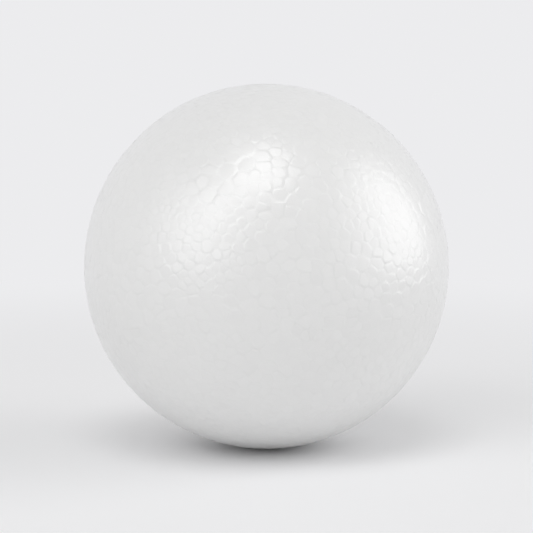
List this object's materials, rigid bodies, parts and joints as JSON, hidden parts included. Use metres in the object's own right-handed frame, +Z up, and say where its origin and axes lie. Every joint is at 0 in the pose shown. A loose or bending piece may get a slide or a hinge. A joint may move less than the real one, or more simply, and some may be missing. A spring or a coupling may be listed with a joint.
{
  "type": "polystyrene ball",
  "caption": "Solid white polystyrene craft ball, moulded in one piece from small fused foam beads, with a faint parting line right round it.",
  "frame": {"origin": "the ball's centre", "axes": "+Y is the way the mould opened, square to the parting line, and +Z is up, so the parting line runs round the ball in the XZ plane and -Z points down to rest_point"},
  "size_m": [0.0332, 0.033, 0.0332],
  "materials": {
    "foam": "satin"
  },
  "bodies": {
    "root": {"ball": "foam"}
  },
  "joints": []
}
